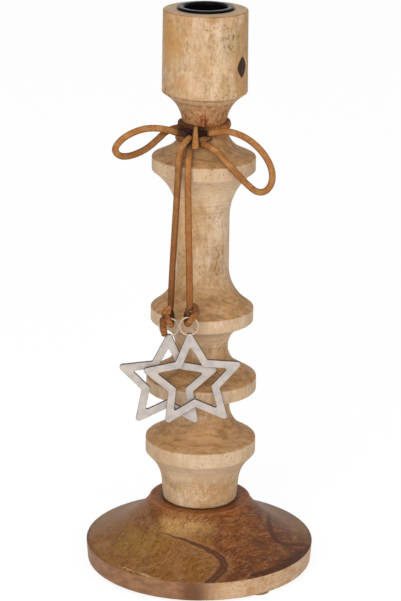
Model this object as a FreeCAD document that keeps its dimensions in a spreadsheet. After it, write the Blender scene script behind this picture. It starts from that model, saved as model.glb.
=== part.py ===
import FreeCAD, Part

import math
import os
import re

import Sketcher

# A turned wooden candle stand: a round base, a turned column with a metal candle cup in its
# head, and a leather lace tied in a bow round the upper neck. An open metal star hangs in a
# wire ring from each tail of the lace. Lengths are millimetres, +Z is up and the origin is
# on the surface that the stand rests on, under the column's axis. -Y is the front.

SIZES = {
    # Base plate, heights above its own underside
    "base_radius": 60.8,
    "base_under_radius": 60.0,
    "base_rim_height": 10.5,
    "base_slope_run": 10.8,
    "base_slope_rise": 4.2,
    "base_height": 34.5,
    "base_edge_round": 0.8,
    "plinth_radius": 27.0,
    "plinth_band": 1.3,
    "socket_clearance": 0.1,
    # Felt pads under the base
    "pad_radius": 6.0,
    "pad_thickness": 1.5,
    "pad_circle_radius": 53.0,
    "pad_first_angle": -54.0,
    "pad_count": 3.0,
    # Column, from its seat on the plinth up: each height is that of its own stretch
    "spigot_radius": 9.0,
    "spigot_length": 12.0,
    "foot_under_radius": 19.6,
    "foot_under_round": 1.2,
    "foot_radius": 20.4,
    "foot_height": 7.8,
    "disc1_under_height": 18.9,
    "disc1_radius": 29.2,
    "disc1_band": 7.9,
    "disc1_top_height": 18.8,
    "neck1_radius": 15.0,
    "disc2_under_height": 8.2,
    "disc2_radius": 29.0,
    "disc2_band": 7.3,
    "disc2_top_height": 16.3,
    "neck2_radius": 13.8,
    "disc3_under_height": 14.7,
    "disc3_radius": 26.9,
    "disc3_band": 7.0,
    "disc3_top_height": 22.4,
    "waist_radius": 13.7,
    "waist_height": 26.7,
    "disc4_under_height": 24.9,
    "disc4_radius": 26.8,
    "disc4_band": 7.0,
    "disc4_top_height": 16.7,
    "lace_neck_radius": 11.4,
    "head_under_height": 17.1,
    "head_radius": 21.95,
    "head_height": 42.3,
    "head_top_radius": 21.6,
    "disc_edge_round": 0.9,
    "head_edge_round": 0.8,
    # Candle cup, a drawn metal socket for a 22 mm dinner candle
    "cup_bore_radius": 11.0,
    "cup_depth": 25.0,
    "cup_wall": 0.8,
    "cup_ledge_width": 1.0,
    "cup_ledge_height": 3.0,
    "cup_lip_radius": 14.6,
    "cup_lip_thickness": 1.4,
    "cup_mouth_round": 1.3,
    "cup_lip_round": 0.6,
    "cup_clearance": 0.1,
    "cup_floor_gap": 0.3,
    # Fasteners
    "cup_screw_head_radius": 3.4,
    "cup_screw_head_height": 1.8,
    "cup_screw_radius": 1.7,
    "cup_screw_length": 16.0,
    "column_screw_head_radius": 5.2,
    "column_screw_head_height": 3.4,
    "column_screw_radius": 2.6,
    "column_screw_length": 52.0,
    "washer_radius": 8.5,
    "washer_thickness": 1.2,
    "counterbore_clearance": 1.5,
    "counterbore_depth": 7.5,
    "thread_clearance": 0.05,
    "screw_hole_clearance": 0.4,
    "screw_end_clearance": 1.0,
    "drive_slot_width": 0.9,
    "drive_slot_depth": 1.0,
    # Leather lace, a flat strip
    "lace_tube_radius": 1.4,
    "lace_width": 3.5,
    "lace_thickness": 2.0,
    "lace_edge_round": 0.5,
    "lace_gap": 0.3,
    "knot_width": 8.0,
    "knot_depth": 4.7,
    "knot_height": 7.4,
    "knot_offset": -4.2,
    "knot_drop": 2.1,
    "knot_round": 0.8,
    "knot_turn_width": 3.2,
    "knot_turn_proud": 1.8,
    "knot_turn_rise": 1.9,
    "knot_turn_fall": 2.7,
    # Hitch of a tail through its ring, measured from the middle of the wire at the ring's top
    "hitch_width": 3.4,
    "hitch_strap": 1.5,
    "hitch_channel_radius": 1.05,
    "hitch_channel_height": 2.2,
    "hitch_knot_depth": 6.4,
    "hitch_knot_height": 5.4,
    "hitch_round": 0.6,
    "lace_end_length": 11.0,
    "lace_end_thickness": 1.4,
    "lace_end_gap": 0.85,
    "lace_end_overhang": 5.2,
    # Wire rings
    "ring_radius": 4.75,
    "ring_wire_radius": 0.5,
    # Stars, drawn round the middle of the ring that they hang in
    "star_tip_radius": 28.2,
    "star_notch_radius": 14.0,
    "star_bar_width": 4.0,
    "star_thickness": 2.2,
    "star_hang": 29.8,
    "star_tip_round": 1.6,
    "star_corner_round": 0.7,
    "star_edge_round": 0.35,
    "star_column_gap": 0.3,
    "star_gap": 0.6,
    "eye_clearance": 0.12,
    # Places of the two pendants, sideways from the axis and up from the origin
    "left_pendant_x": -16.7,
    "left_ring_height": 140.8,
    "left_star_lean": -1.0,
    "right_pendant_x": -6.6,
    "right_ring_height": 142.4,
    "right_star_lean": 4.9,
}

# How full each hollow is: the share of the roundest arc that runs from the neck to the disc.
FOOT_SHARE = 0.97
DISC1_TOP_SHARE = 0.93
DISC2_UNDER_SHARE = 0.75
DISC2_TOP_SHARE = 0.77
DISC3_UNDER_SHARE = 0.89
DISC3_TOP_SHARE = 0.97
DISC4_UNDER_SHARE = 0.99
DISC4_TOP_SHARE = 0.89
HEAD_UNDER_SHARE = 0.97

# Middle lines of the lace's free stretches, chosen by hand, from the origin of the stand.
LEFT_BOW_ROUTE = [
    (-8.2, -16.65, 240.4), (-12.6, -16.65, 240.4), (-20.0, -18.2, 242.4), (-28.5, -20.0, 243.0),
    (-36.5, -21.3, 240.6), (-42.5, -22.3, 236.6), (-45.4, -22.7, 231.8), (-42.3, -22.3, 228.3),
    (-36.3, -21.3, 228.6), (-28.8, -19.3, 231.8), (-22.8, -16.6, 236.8), (-18.08, -13.56, 240.9),
    (-11.2, -8.4, 240.9),
]
RIGHT_BOW_ROUTE = [
    (-0.2, -16.65, 240.4), (4.6, -16.65, 240.4), (11.6, -17.9, 241.7), (18.3, -19.5, 239.8),
    (24.8, -21.5, 236.3), (30.8, -23.0, 230.3), (34.4, -24.0, 223.4), (34.8, -24.4, 216.6),
    (31.8, -24.6, 211.7), (27.1, -24.8, 211.1), (22.4, -25.2, 215.0), (17.2, -25.9, 220.6),
    (11.6, -26.4, 226.7), (6.8, -22.3, 232.4), (4.4, -16.65, 236.6), (-0.2, -16.65, 236.6),
]
LEFT_TAIL_ROUTE = [
    (-9.37, -16.65, 236.4), (-11.9, -18.3, 233.0), (-12.9, -22.9, 229.0), (-13.4, -26.9, 224.0),
    (-13.6, -27.6, 216.4), (-16.7, -30.4, 161.5), (-16.7, -30.4, 153.15),
]
RIGHT_TAIL_ROUTE = [
    (-7.25, -16.65, 234.8), (-7.25, -16.65, 231.6), (-7.5, -20.6, 228.9), (-7.9, -25.6, 227.0),
    (-8.0, -29.0, 222.2), (-7.9, -29.5, 215.0), (-6.6, -33.2, 162.5), (-6.6, -33.2, 154.75),
]
ARC_SHARE = 0.45

doc = FreeCAD.newDocument("CandleStand")
sheet = doc.addObject("Spreadsheet::Sheet", "Sizes")
for line, (alias, size) in enumerate(SIZES.items(), start=1):
    sheet.set(f"A{line}", alias)
    sheet.set(f"B{line}", str(size))
    sheet.setAlias(f"B{line}", alias)
doc.recompute()

WORD = re.compile(r"[a-z][a-z0-9_]*")


def bound(text):
    """The expression in `text` with every named size read from the sheet."""
    return WORD.sub(lambda word: f"Sizes.{word[0]}" if word[0] in SIZES else word[0], text)


def size(text):
    """The value of an expression of named sizes."""
    return float(sheet.evalExpression(bound(text)))


def total(*terms):
    """The sum of several expressions, as one expression."""
    return " + ".join(f"({term})" for term in terms)


def new_body(name, x="0", y="0", z="0"):
    """An empty body whose own origin stands at the given place."""
    body = doc.addObject("PartDesign::Body", name)
    body.Label = name
    for axis, text in zip("xyz", (x, y, z)):
        body.setExpression(f"Placement.Base.{axis}", bound(text))
    return body


class Outline:
    """A closed outline on one of a body's own planes, with every corner at named sizes."""

    def __init__(self, body, plane_role, name):
        self.sketch = body.newObject("Sketcher::SketchObject", name)
        plane = next(part for part in body.Origin.OriginFeatures if part.Role == plane_role)
        self.sketch.AttachmentSupport = [(plane, "")]
        self.sketch.MapMode = "FlatFace"
        self.first = None
        self.last = None
        self.here = None
        self.corner = None

    def constrain(self, kind, *places, text=None):
        """Adds a constraint, bound to an expression where one is given."""
        if text is None:
            self.sketch.addConstraint(Sketcher.Constraint(kind, *places))
            return
        number = self.sketch.addConstraint(Sketcher.Constraint(kind, *places, size(text)))
        self.sketch.setExpression(f"Constraints[{number}]", bound(text))

    def pin(self, end, corner):
        """Holds one end of a piece at a corner."""
        origin = (-1, 1)
        for kind, axis, text in (("DistanceX", -2, corner[0]), ("DistanceY", -1, corner[1])):
            if text == "0":
                self.constrain("PointOnObject", *end, axis)
            else:
                self.constrain(kind, *origin, *end, text=text)

    def start(self, x, y):
        """The first corner."""
        self.corner = (x, y)
        self.here = FreeCAD.Vector(size(x), size(y), 0)
        self.start_corner = self.corner

    def follow(self, piece, near_end, far_end):
        """Joins the near end of a new piece to the last one."""
        if self.last is None:
            self.first = (piece, near_end)
            self.pin(self.first, self.corner)
        else:
            self.constrain("Coincident", *self.last, piece, near_end)
        self.last = (piece, far_end)

    def line(self, x, y):
        """A straight side to a corner."""
        there = FreeCAD.Vector(size(x), size(y), 0)
        piece = self.sketch.addGeometry(Part.LineSegment(self.here, there))
        self.follow(piece, 1, 2)
        self.pin(self.last, (x, y))
        self.here = there
        self.corner = (x, y)

    def close(self):
        """A straight side back to the first corner."""
        x, y = self.start_corner
        there = FreeCAD.Vector(size(x), size(y), 0)
        piece = self.sketch.addGeometry(Part.LineSegment(self.here, there))
        self.follow(piece, 1, 2)
        self.constrain("Coincident", *self.last, *self.first)

    def hollow(self, x, y, share, from_neck):
        """A hollow between a neck and a disc: an arc upright at the neck, then a straight run."""
        old_corner, old_here = self.corner, self.here
        there = FreeCAD.Vector(size(x), size(y), 0)
        neck, neck_corner = (old_here, old_corner) if from_neck else (there, (x, y))
        disc, disc_corner = (there, (x, y)) if from_neck else (old_here, old_corner)
        out = f"(({disc_corner[0]}) - ({neck_corner[0]}))"
        rise = f"(({disc_corner[1]}) - ({neck_corner[1]}))"
        radius_text = f"{share} * ({out}^2 + {rise}^2) / (2 * {out})"
        radius = size(radius_text)
        centre = neck + FreeCAD.Vector(radius, 0, 0)
        reach = disc - centre
        up = math.copysign(1, reach.y)
        touch_angle = math.atan2(abs(reach.y), reach.x) + math.acos(radius / reach.Length)
        touch = centre + FreeCAD.Vector(math.cos(touch_angle), up * math.sin(touch_angle), 0) * radius
        circle = Part.Circle(centre, FreeCAD.Vector(0, 0, 1), radius)
        angles = (touch_angle, math.pi) if up > 0 else (math.pi, 2 * math.pi - touch_angle)
        touch_end, neck_end = (1, 2) if up > 0 else (2, 1)
        if from_neck:
            arc = self.sketch.addGeometry(Part.ArcOfCircle(circle, *angles))
            self.follow(arc, neck_end, touch_end)
            run = self.sketch.addGeometry(Part.LineSegment(touch, disc))
            self.constrain("Tangent", arc, touch_end, run, 1)
            self.last = (run, 2)
            self.pin(self.last, (x, y))
        else:
            run = self.sketch.addGeometry(Part.LineSegment(disc, touch))
            self.follow(run, 1, 2)
            arc = self.sketch.addGeometry(Part.ArcOfCircle(circle, *angles))
            self.constrain("Tangent", run, 2, arc, touch_end)
            self.last = (arc, neck_end)
            self.pin(self.last, (x, y))
        self.constrain("DistanceY", -1, 1, arc, 3, text=neck_corner[1])
        self.constrain("Radius", arc, text=radius_text)
        self.here = there
        self.corner = (x, y)

    def sweep(self, x, y):
        """An arc to a corner that leaves the last straight side smoothly."""
        there = FreeCAD.Vector(size(x), size(y), 0)
        side = self.sketch.Geometry[self.last[0]]
        along = (side.EndPoint - side.StartPoint).normalize()
        chord = there - self.here
        left = FreeCAD.Vector(-along.y, along.x, 0)
        offset = chord.Length ** 2 / (2 * chord.dot(left))
        centre = self.here + left * offset
        circle = Part.Circle(centre, FreeCAD.Vector(0, 0, 1), abs(offset))
        near_end = 1 if offset > 0 else 2
        ends = (self.here, there) if offset > 0 else (there, self.here)
        angles = [math.atan2(end.y - centre.y, end.x - centre.x) for end in ends]
        piece = self.sketch.addGeometry(Part.ArcOfCircle(circle, *angles))
        self.constrain("Tangent", *self.last, piece, near_end)
        self.last = (piece, 3 - near_end)
        self.pin(self.last, (x, y))
        self.here = there
        self.corner = (x, y)


def turn(body, outline, kind="PartDesign::Revolution", axis="V_Axis"):
    """Spins an outline all the way round an axis of its own sketch."""
    feature = body.newObject(kind, f"{body.Name}Turned")
    feature.Profile = outline.sketch
    feature.ReferenceAxis = (outline.sketch, [axis])
    feature.Angle = 360
    doc.recompute()
    return feature


def pad(body, sketch, length, both_ways=False):
    """Gives a sketch a thickness."""
    feature = body.newObject("PartDesign::Pad", f"{body.Name}Pad")
    feature.Profile = sketch
    feature.setExpression("Length", bound(length))
    feature.Midplane = both_ways
    doc.recompute()
    return feature


def round_edges(body, radius, wanted):
    """Rounds those edges of the body for which `wanted` is true."""
    base = body.Tip
    names = [f"Edge{n}" for n, edge in enumerate(base.Shape.Edges, start=1) if wanted(edge)]
    if not names:
        raise RuntimeError(f"{body.Label}: no edge to round")
    feature = body.newObject("PartDesign::Fillet", f"{body.Name}Round")
    feature.Base = (base, names)
    feature.setExpression("Radius", bound(radius))
    doc.recompute()
    return feature


def circle_at(radius, height):
    """A test for the level circle of a given radius at a given height in its body."""
    wanted_radius, wanted_height = size(radius), size(height)
    near = wanted_radius * 1e-5

    def wanted(edge):
        if not isinstance(edge.Curve, Part.Circle):
            return False
        middle = edge.Curve.Center
        return abs(edge.Curve.Radius - wanted_radius) < near and abs(middle.z - wanted_height) < near
    return wanted


def any_of(*tests):
    """A test that is true where any of several tests is."""
    return lambda edge: any(test(edge) for test in tests)


def cut_changes(body, feature):
    """Stops where a cut has taken nothing away."""
    if body.Shape.Volume >= feature.BaseFeature.Shape.Volume:
        raise RuntimeError(f"{feature.Label} cuts nothing")


SEAT_HEIGHT = "pad_thickness + base_height"
BELOW_LACE = (
    "foot_height", "disc1_under_height", "disc1_band", "disc1_top_height", "disc2_under_height",
    "disc2_band", "disc2_top_height", "disc3_under_height", "disc3_band", "disc3_top_height",
    "waist_height", "disc4_under_height", "disc4_band", "disc4_top_height",
)
LACE_HEIGHT = total(SEAT_HEIGHT, *BELOW_LACE)
HEAD_TOP = total(LACE_HEIGHT, "head_under_height", "head_height")
SPIGOT_SOCKET_DEPTH = "spigot_length + cup_floor_gap"
SCREW_HOLE_RADIUS = "column_screw_radius + screw_hole_clearance"
COUNTERBORE_RADIUS = "washer_radius + counterbore_clearance"
CUP_RADIUS = "cup_bore_radius + cup_wall"
RECESS_DEPTH = "cup_depth + cup_floor_gap"


def make_base_plate():
    body = new_body("base_plate", z="pad_thickness")
    shape = Outline(body, "XZ_Plane", "BaseOutline")
    shape.start(SCREW_HOLE_RADIUS, "counterbore_depth")
    shape.line(COUNTERBORE_RADIUS, "counterbore_depth")
    shape.line(COUNTERBORE_RADIUS, "0")
    shape.line("base_under_radius", "0")
    shape.line("base_radius", "base_rim_height")
    shape.line("base_radius - base_slope_run", "base_rim_height + base_slope_rise")
    shape.sweep("plinth_radius", "base_height - plinth_band")
    shape.line("plinth_radius", "base_height")
    shape.line("spigot_radius + socket_clearance", "base_height")
    shape.line("spigot_radius + socket_clearance", f"base_height - ({SPIGOT_SOCKET_DEPTH})")
    shape.line(SCREW_HOLE_RADIUS, f"base_height - ({SPIGOT_SOCKET_DEPTH})")
    shape.close()
    turn(body, shape)
    rim = circle_at("base_radius", "base_rim_height")
    plinth = circle_at("plinth_radius", "base_height")
    under = circle_at("base_under_radius", "0")
    round_edges(body, "base_edge_round", any_of(rim, plinth, under))
    return body


def make_column():
    """The turned column, drawn from the bottom of its spigot."""
    body = new_body("column", z=f"{SEAT_HEIGHT} - spigot_length")
    shape = Outline(body, "XZ_Plane", "ColumnOutline")
    stretches = ["spigot_length"]
    rims = []

    def up(stretch):
        """The height at the top of the next stretch."""
        stretches.append(stretch)
        return total(*stretches)

    def disc(number, under_share, top_share, neck_radius):
        """A disc: its underside, its upright band and the hollow up to the next neck."""
        radius = f"disc{number}_radius"
        shape.hollow(radius, up(f"disc{number}_under_height"), under_share, from_neck=True)
        rims.append(circle_at(radius, total(*stretches)))
        shape.line(radius, up(f"disc{number}_band"))
        rims.append(circle_at(radius, total(*stretches)))
        shape.hollow(neck_radius, up(f"disc{number}_top_height"), top_share, from_neck=False)

    shape.start("column_screw_radius + thread_clearance", "0")
    shape.line("spigot_radius", "0")
    shape.line("spigot_radius", "spigot_length")
    shape.line("foot_under_radius", "spigot_length")
    shape.line("foot_radius", up("foot_height"))
    disc(1, FOOT_SHARE, DISC1_TOP_SHARE, "neck1_radius")
    disc(2, DISC2_UNDER_SHARE, DISC2_TOP_SHARE, "neck2_radius")
    disc(3, DISC3_UNDER_SHARE, DISC3_TOP_SHARE, "waist_radius")
    shape.line("waist_radius", up("waist_height"))
    disc(4, DISC4_UNDER_SHARE, DISC4_TOP_SHARE, "lace_neck_radius")
    shape.hollow("head_radius", up("head_under_height"), HEAD_UNDER_SHARE, from_neck=True)
    rims.append(circle_at("head_radius", total(*stretches)))
    top = up("head_height")
    recess_floor = f"{top} - ({RECESS_DEPTH})"
    pilot_depth = "cup_screw_length - cup_wall - cup_floor_gap + screw_end_clearance"
    screw_reach = f"{column_screw_top()} - ({SEAT_HEIGHT} - spigot_length) + screw_end_clearance"
    shape.line("head_top_radius", top)
    shape.line(f"{CUP_RADIUS} + cup_clearance", top)
    shape.line(f"{CUP_RADIUS} + cup_clearance", recess_floor)
    shape.line("cup_screw_radius + thread_clearance", recess_floor)
    shape.line("cup_screw_radius + thread_clearance", f"{recess_floor} - ({pilot_depth})")
    shape.line("0", f"{recess_floor} - ({pilot_depth})")
    shape.line("0", screw_reach)
    shape.line("column_screw_radius + thread_clearance", screw_reach)
    shape.close()
    turn(body, shape)
    round_edges(body, "disc_edge_round", any_of(*rims))
    round_edges(body, "head_edge_round", circle_at("head_top_radius", top))
    round_edges(body, "foot_under_round", circle_at("foot_under_radius", "spigot_length"))
    return body


def make_foot_pads():
    """Round felt pads, evenly spaced near the rim."""
    pads = []
    for number in range(int(size("pad_count"))):
        felt = doc.addObject("Part::Cylinder", f"Pad{number + 1}")
        felt.setExpression("Radius", bound("pad_radius"))
        felt.setExpression("Height", bound("pad_thickness"))
        angle = f"(pad_first_angle + {number} * 360 / pad_count) * 1 deg"
        felt.setExpression("Placement.Base.x", bound(f"pad_circle_radius * cos({angle})"))
        felt.setExpression("Placement.Base.y", bound(f"pad_circle_radius * sin({angle})"))
        pads.append(felt)
    group = doc.addObject("Part::Compound", "foot_pads")
    group.Label = "foot_pads"
    group.Links = pads
    return group


def make_candle_cup():
    body = new_body("candle_cup", z=f"{HEAD_TOP} - cup_depth")
    shape = Outline(body, "XZ_Plane", "CupOutline")
    hole = "cup_screw_radius + screw_hole_clearance"
    top = "cup_depth + cup_lip_thickness"
    shape.start(hole, "0")
    shape.line(f"{CUP_RADIUS} - cup_ledge_width", "0")
    shape.line(f"{CUP_RADIUS} - cup_ledge_width", "cup_ledge_height")
    shape.line(CUP_RADIUS, "cup_ledge_height")
    shape.line(CUP_RADIUS, "cup_depth")
    shape.line("cup_lip_radius", "cup_depth")
    shape.line("cup_lip_radius", top)
    shape.line("cup_bore_radius", top)
    shape.line("cup_bore_radius", "cup_ledge_height + cup_wall")
    shape.line("cup_bore_radius - cup_ledge_width", "cup_ledge_height + cup_wall")
    shape.line("cup_bore_radius - cup_ledge_width", "cup_wall")
    shape.line(hole, "cup_wall")
    shape.close()
    turn(body, shape)
    round_edges(body, "cup_mouth_round", circle_at("cup_bore_radius", top))
    round_edges(body, "cup_lip_round", circle_at("cup_lip_radius", top))
    return body


def make_screw(name, kind, height, upside_down):
    """A pan-head wood screw, drawn head down, with a cross of two slots in its head."""
    body = new_body(name, z=height)
    if upside_down:
        body.Placement.Rotation = FreeCAD.Rotation(FreeCAD.Vector(1, 0, 0), 180)
    radius, length = f"{kind}_screw_radius", f"{kind}_screw_length"
    head_radius, head_height = f"{kind}_screw_head_radius", f"{kind}_screw_head_height"
    shape = Outline(body, "XZ_Plane", f"{name}_outline")
    shape.start("0", "0")
    shape.line(head_radius, "0")
    shape.line(head_radius, head_height)
    shape.line(radius, head_height)
    shape.line(radius, f"{head_height} + {length} - 2 * {radius}")
    shape.line("0", f"{head_height} + {length}")
    shape.close()
    turn(body, shape)
    round_edges(body, f"{head_height} / 3", circle_at(head_radius, "0"))
    for number, (long_side, short_side) in enumerate((("x", "y"), ("y", "x"))):
        half = {"x": f"{head_radius} / 2", "y": "drive_slot_width / 2"}
        x, y = half[long_side], half[short_side]
        slot = Outline(body, "XY_Plane", f"{name}_slot{number + 1}")
        slot.start(x, y)
        slot.line(f"-({x})", y)
        slot.line(f"-({x})", f"-({y})")
        slot.line(x, f"-({y})")
        slot.close()
        pocket = body.newObject("PartDesign::Pocket", f"{name}_cut{number + 1}")
        pocket.Profile = slot.sketch
        pocket.setExpression("Length", bound("drive_slot_depth"))
        pocket.Reversed = True
        doc.recompute()
        cut_changes(body, pocket)
    return body


def column_screw_head_height():
    """Where the screw's head starts, so that it bears on the washer."""
    return "pad_thickness + counterbore_depth - washer_thickness - column_screw_head_height"


def column_screw_top():
    """The height of the column screw's point."""
    return f"{column_screw_head_height()} + column_screw_head_height + column_screw_length"


def make_washer():
    body = new_body("column_washer", z="pad_thickness + counterbore_depth - washer_thickness")
    shape = Outline(body, "XZ_Plane", "WasherOutline")
    shape.start(SCREW_HOLE_RADIUS, "0")
    shape.line("washer_radius", "0")
    shape.line("washer_radius", "washer_thickness")
    shape.line(SCREW_HOLE_RADIUS, "washer_thickness")
    shape.close()
    turn(body, shape)
    return body


COLLAR_RADIUS = "lace_neck_radius + lace_gap + lace_thickness"


def make_collar():
    """The turn of the lace round the neck."""
    body = new_body("lace_collar", z=f"{LACE_HEIGHT} - lace_width / 2")
    shape = Outline(body, "XZ_Plane", "CollarOutline")
    shape.start("lace_neck_radius + lace_gap", "0")
    shape.line(COLLAR_RADIUS, "0")
    shape.line(COLLAR_RADIUS, "lace_width")
    shape.line("lace_neck_radius + lace_gap", "lace_width")
    shape.close()
    turn(body, shape)
    round_edges(body, "lace_edge_round", any_of(circle_at(COLLAR_RADIUS, "0"), circle_at(COLLAR_RADIUS, "lace_width")))
    return body


def make_block(name, x, y, z, width, depth, height):
    """A box whose front left lower corner stands at a place."""
    block = doc.addObject("Part::Box", name)
    for field, text in (("Length", width), ("Width", depth), ("Height", height)):
        block.setExpression(field, bound(text))
    for axis, text in zip("xyz", (x, y, z)):
        block.setExpression(f"Placement.Base.{axis}", bound(text))
    return block


def round_block(name, block, radius):
    """The block with all of its edges rounded."""
    doc.recompute()
    rounded = doc.addObject("Part::Fillet", name)
    rounded.Base = block
    rounded.Edges = [(n, size(radius), size(radius)) for n in range(1, len(block.Shape.Edges) + 1)]
    return rounded


def make_knot():
    """The knot in front of the neck: the bundle, and the turn of lace that crosses it."""
    back = f"-({COLLAR_RADIUS} + lace_gap)"
    low = f"{LACE_HEIGHT} - knot_drop - knot_height / 2"
    bundle = make_block(
        "KnotBundle", "knot_offset - knot_width / 2", f"{back} - knot_depth", low,
        "knot_width", "knot_depth", "knot_height")
    turn_over = make_block(
        "KnotTurn", "knot_offset - knot_turn_width / 2", f"{back} - knot_depth - knot_turn_proud",
        f"{low} - knot_turn_fall", "knot_turn_width", "knot_depth + knot_turn_proud",
        "knot_height + knot_turn_fall + knot_turn_rise")
    knot = doc.addObject("Part::MultiFuse", "lace_knot")
    knot.Label = "lace_knot"
    knot.Shapes = [round_block("KnotBundleRound", bundle, "knot_round"),
                   round_block("KnotTurnRound", turn_over, "knot_round")]
    doc.recompute()
    return knot


def make_lace(name, route):
    """A free stretch of lace: straight runs joined by arcs as large as the runs allow."""
    points = [FreeCAD.Vector(*point) for point in route]
    edges = []
    radii = []
    here = points[0]
    for before, corner, after in zip(points, points[1:], points[2:]):
        back, ahead = before - corner, after - corner
        turn_angle = math.pi - back.getAngle(ahead)
        cut = ARC_SHARE * min(back.Length, ahead.Length)
        radii.append(cut / math.tan(turn_angle / 2))
        inwards = back.normalize() + ahead.normalize()
        enter, leave = corner + back * cut, corner + ahead * cut
        height = radii[-1] / math.cos(turn_angle / 2) - radii[-1]
        middle = corner + inwards.normalize() * height
        edges.append(Part.LineSegment(here, enter).toShape())
        edges.append(Part.Arc(enter, middle, leave).toShape())
        here = leave
    edges.append(Part.LineSegment(here, points[-1]).toShape())
    path = Part.Wire(edges)
    radius = size("lace_tube_radius")
    section = Part.Wire(Part.Circle(points[0], points[1] - points[0], radius).toShape())
    tube = path.makePipeShell([section], True, False)
    lace = doc.addObject("Part::Feature", name)
    lace.Label = name
    lace.Shape = tube
    expected = math.pi * radius ** 2 * path.Length
    print(f"{name}: length {path.Length:.1f}, volume {tube.Volume / expected:.4f} of section by length,",
          "bend radii", " ".join(f"{bend:.1f}" for bend in radii))
    return lace


def make_hitch(name, x, y, ring_height):
    """A tail's knot above its ring, with the strap that holds the ring's wire."""
    body = new_body(name, x=x, y=y, z=f"{ring_height} + ring_radius")
    outer = "hitch_channel_radius + hitch_strap"
    top = "hitch_channel_height + hitch_knot_height"
    inside = "hitch_channel_radius"
    sketch = Outline(body, "YZ_Plane", f"{name}_outline")
    sketch.start(f"-({outer})", "hitch_channel_height")
    sketch.line(f"-({outer})", "0")
    sketch.sweep(outer, "0")
    sketch.line(outer, "hitch_channel_height")
    sketch.line("hitch_knot_depth / 2", "hitch_channel_height")
    sketch.line("hitch_knot_depth / 2", top)
    sketch.line("-hitch_knot_depth / 2", top)
    sketch.line("-hitch_knot_depth / 2", "hitch_channel_height")
    sketch.close()
    pad(body, sketch.sketch, "hitch_width", both_ways=True)
    channel = Outline(body, "YZ_Plane", f"{name}_channel")
    channel.start(f"-({inside})", "hitch_channel_height")
    channel.line(f"-({inside})", "0")
    channel.sweep(inside, "0")
    channel.line(inside, "hitch_channel_height")
    channel.close()
    pocket = body.newObject("PartDesign::Pocket", f"{name}_pass")
    pocket.Profile = channel.sketch
    pocket.Type = "ThroughAll"
    pocket.Midplane = True
    doc.recompute()
    cut_changes(body, pocket)
    knot_depth, knot_top = size("hitch_knot_depth"), size(top)

    def upper_edge(edge):
        middle = edge.CenterOfMass
        at_side = abs(abs(middle.y) - knot_depth / 2) < knot_depth / 100
        on_top = abs(middle.z - knot_top) < knot_top / 100
        return at_side or (on_top and abs(middle.y) < knot_depth / 100)
    round_edges(body, "hitch_round", upper_edge)
    return body


def make_lace_end(x, y, ring_height):
    """The short end of the left tail, hanging in front of the ring's left side."""
    front = f"{y} - ring_wire_radius - lace_end_gap - lace_end_thickness"
    strip = make_block(
        "LaceEndStrip", f"{x} - lace_end_overhang", front, f"{ring_height} - lace_end_overhang",
        "hitch_width - 2 * lace_gap", "lace_end_thickness", "lace_end_length")
    rounded = round_block("lace_end_left", strip, "lace_edge_round")
    rounded.Label = "lace_end_left"
    return rounded


def make_ring(name, x, y, height):
    """A wire ring that faces the front."""
    ring = doc.addObject("Part::Torus", name)
    ring.Label = name
    ring.setExpression("Radius1", bound("ring_radius"))
    ring.setExpression("Radius2", bound("ring_wire_radius"))
    ring.Placement.Rotation = FreeCAD.Rotation(FreeCAD.Vector(1, 0, 0), 90)
    for axis, text in zip("xyz", (x, y, height)):
        ring.setExpression(f"Placement.Base.{axis}", bound(text))
    return ring


def star_corners(tip_radius, notch_radius):
    """The ten corners of a star below the ring's middle, tip and notch in turn, as expressions."""
    corners = []
    for number in range(10):
        radius = notch_radius if number % 2 else tip_radius
        angle = f"({number} * 36 deg)"
        corners.append((f"({radius}) * sin{angle}", f"({radius}) * cos{angle} - star_hang"))
    return corners


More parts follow.
